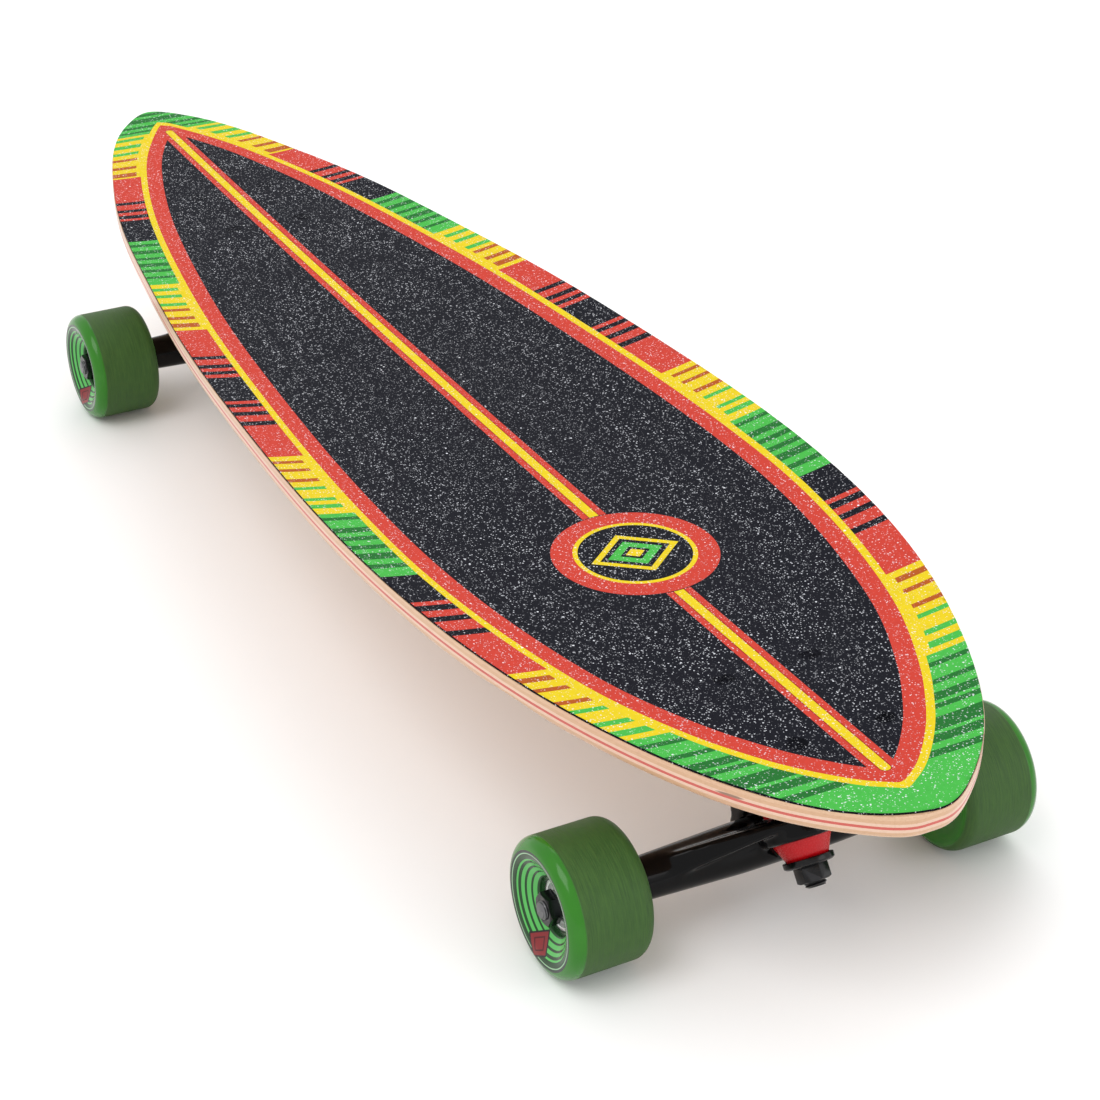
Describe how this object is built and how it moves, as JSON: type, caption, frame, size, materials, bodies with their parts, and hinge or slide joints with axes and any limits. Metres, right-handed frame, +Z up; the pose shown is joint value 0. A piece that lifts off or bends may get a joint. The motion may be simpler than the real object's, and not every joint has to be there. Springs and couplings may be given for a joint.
{
  "type": "skateboard",
  "caption": "Pintail cruiser skateboard: bent maple deck with a striped clear-grip top, sprung steering trucks and free-rolling urethane wheels on ball bearings.",
  "frame": {"origin": "on the ground plane, under the middle of the deck's bounding box", "axes": "+X towards the wide nose (direction of travel), +Y to the rider's left when facing +X, +Z up"},
  "size_m": [0.8543, 0.2332, 0.1109],
  "materials": {
    "grip": "gritty clear grip over a striped print on black",
    "maple": "clear satin lacquer",
    "maple_cross": "clear satin lacquer",
    "maple_dyed": "red dye, clear satin lacquer",
    "truck_cast": "gloss black powder coat on cast aluminium",
    "steel_black": "black oxide",
    "bolt": "black oxide",
    "axle_steel": "turned, dark",
    "washer_steel": "zinc plated",
    "bearing_steel": "ground",
    "shield": "pressed",
    "cage": "moulded nylon",
    "urethane": "cast urethane: ground tread, glossy lips",
    "bushing": "cast urethane, satin",
    "pivot_cup": "moulded urethane"
  },
  "bodies": {
    "board": {"grip_sheet": "grip", "ply_1_face": "maple", "ply_2_core": "maple", "ply_3_cross": "maple_cross", "ply_4_dyed": "maple_dyed", "ply_5_cross": "maple_cross", "ply_6_core": "maple", "ply_7_face": "maple", "nose_baseplate": "truck_cast", "nose_pivot_cup": "pivot_cup", "nose_kingpin": "steel_black", "nose_board_bushing": "bushing", "nose_road_bushing": "bushing", "nose_bushing_washers": "steel_black", "nose_kingpin_nut": "steel_black", "nose_deck_bolts": "bolt", "nose_deck_nuts": "bolt", "tail_baseplate": "truck_cast", "tail_pivot_cup": "pivot_cup", "tail_kingpin": "steel_black", "tail_board_bushing": "bushing", "tail_road_bushing": "bushing", "tail_bushing_washers": "steel_black", "tail_kingpin_nut": "steel_black", "tail_deck_bolts": "bolt", "tail_deck_nuts": "bolt"},
    "nose_steering": {"nose_hanger": "truck_cast", "nose_axle": "axle_steel", "nose_axle_nuts": "steel_black", "nose_speed_washers": "washer_steel", "nose_spacers": "washer_steel", "nose_inner_races": "bearing_steel"},
    "tail_steering": {"tail_hanger": "truck_cast", "tail_axle": "axle_steel", "tail_axle_nuts": "steel_black", "tail_speed_washers": "washer_steel", "tail_spacers": "washer_steel", "tail_inner_races": "bearing_steel"},
    "nose_left_wheel": {"nose_left_tyre": "urethane", "nose_left_outer_races": "bearing_steel", "nose_left_shields": "shield"},
    "nose_left_ball_train": {"nose_left_balls": "bearing_steel", "nose_left_cages": "cage"},
    "nose_right_wheel": {"nose_right_tyre": "urethane", "nose_right_outer_races": "bearing_steel", "nose_right_shields": "shield"},
    "nose_right_ball_train": {"nose_right_balls": "bearing_steel", "nose_right_cages": "cage"},
    "tail_left_wheel": {"tail_left_tyre": "urethane", "tail_left_outer_races": "bearing_steel", "tail_left_shields": "shield"},
    "tail_left_ball_train": {"tail_left_balls": "bearing_steel", "tail_left_cages": "cage"},
    "tail_right_wheel": {"tail_right_tyre": "urethane", "tail_right_outer_races": "bearing_steel", "tail_right_shields": "shield"},
    "tail_right_ball_train": {"tail_right_balls": "bearing_steel", "tail_right_cages": "cage"}
  },
  "joints": [
    {"name": "nose_steer", "type": "hinge", "parent": "board", "child": "nose_steering", "pos_m": [0.30669, 0, 0.02273], "axis": [0.8477, 0, 0.5305], "range_deg": [-20, 20], "stiffness_Nm_per_rad": 30, "deforming": ["nose_board_bushing", "nose_road_bushing"]},
    {"name": "nose_left_wheel_spin", "type": "hinge", "parent": "nose_steering", "child": "nose_left_wheel", "pos_m": [0.32618, 0, 0.03], "axis": [0, 1, 0], "continuous": true},
    {"name": "nose_left_ball_train_spin", "type": "hinge", "parent": "nose_steering", "child": "nose_left_ball_train", "pos_m": [0.32618, 0, 0.03], "axis": [0, 1, 0], "continuous": true},
    {"name": "nose_right_wheel_spin", "type": "hinge", "parent": "nose_steering", "child": "nose_right_wheel", "pos_m": [0.32618, 0, 0.03], "axis": [0, 1, 0], "continuous": true},
    {"name": "nose_right_ball_train_spin", "type": "hinge", "parent": "nose_steering", "child": "nose_right_ball_train", "pos_m": [0.32618, 0, 0.03], "axis": [0, 1, 0], "continuous": true},
    {"name": "tail_steer", "type": "hinge", "parent": "board", "child": "tail_steering", "pos_m": [-0.22469, 0, 0.02273], "axis": [-0.8477, 0, 0.5305], "range_deg": [-20, 20], "stiffness_Nm_per_rad": 30, "deforming": ["tail_board_bushing", "tail_road_bushing"]},
    {"name": "tail_left_wheel_spin", "type": "hinge", "parent": "tail_steering", "child": "tail_left_wheel", "pos_m": [-0.24418, 0, 0.03], "axis": [0, 1, 0], "continuous": true},
    {"name": "tail_left_ball_train_spin", "type": "hinge", "parent": "tail_steering", "child": "tail_left_ball_train", "pos_m": [-0.24418, 0, 0.03], "axis": [0, 1, 0], "continuous": true},
    {"name": "tail_right_wheel_spin", "type": "hinge", "parent": "tail_steering", "child": "tail_right_wheel", "pos_m": [-0.24418, 0, 0.03], "axis": [0, 1, 0], "continuous": true},
    {"name": "tail_right_ball_train_spin", "type": "hinge", "parent": "tail_steering", "child": "tail_right_ball_train", "pos_m": [-0.24418, 0, 0.03], "axis": [0, 1, 0], "continuous": true}
  ],
  "couplings": [
    {"joint": "nose_left_ball_train_spin", "follows": "nose_left_wheel_spin", "ratio": 0.63227},
    {"joint": "nose_right_ball_train_spin", "follows": "nose_right_wheel_spin", "ratio": 0.63227},
    {"joint": "tail_left_ball_train_spin", "follows": "tail_left_wheel_spin", "ratio": 0.63227},
    {"joint": "tail_right_ball_train_spin", "follows": "tail_right_wheel_spin", "ratio": 0.63227}
  ]
}
